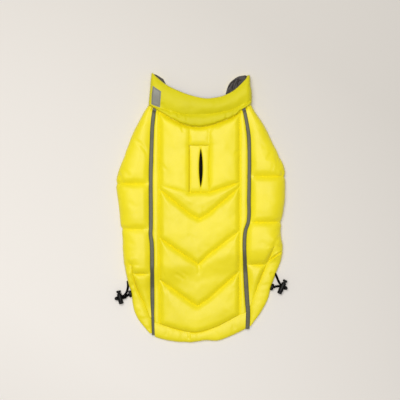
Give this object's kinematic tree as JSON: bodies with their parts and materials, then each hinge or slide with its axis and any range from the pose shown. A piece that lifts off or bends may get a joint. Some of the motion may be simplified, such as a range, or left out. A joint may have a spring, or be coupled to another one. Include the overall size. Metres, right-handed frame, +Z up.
{
  "type": "reversible dog coat",
  "caption": "Padded reversible dog coat laid flat with its back up: quilted back, stand-up collar, grey lining, reflective strips, lead slit and drawcord locks at the hem.",
  "frame": {"origin": "centre of the coat's outline on the surface that it lies on", "axes": "+Y towards the collar, +X to the right with the collar at the top, +Z up from the surface"},
  "size_m": [0.2767, 0.4327, 0.0232],
  "materials": {
    "shell": "smooth woven polyester shell, slight sheen, padded and quilted",
    "collar_shell": "smooth woven polyester shell, slight sheen",
    "lining": "dark grey woven lining, slight sheen",
    "reflective": "grey reflective tape, fine bead texture",
    "black_plastic": "moulded, satin",
    "black_cord": "braided elastic cord"
  },
  "bodies": {
    "root": {"back_panel": "shell", "lead_placket": "shell", "side_left": "shell", "side_right": "shell", "belly_panel": "shell", "hem_left": "shell", "hem_centre": "shell", "hem_right": "shell", "strip_left": "reflective", "strip_right": "reflective", "collar": "collar_shell", "collar_lining": "lining", "collar_tab": "reflective", "eyelet_left": "black_plastic", "eyelet_right": "black_plastic", "lock_barrel_left": "black_plastic", "lock_button_left": "black_plastic", "cord_bead_left": "black_plastic", "lock_barrel_right": "black_plastic", "lock_button_right": "black_plastic", "cord_bead_right": "black_plastic", "drawcord_left_upper": "black_cord", "drawcord_left_lower": "black_cord", "drawcord_right_upper": "black_cord", "drawcord_right_lower": "black_cord"}
  },
  "joints": []
}
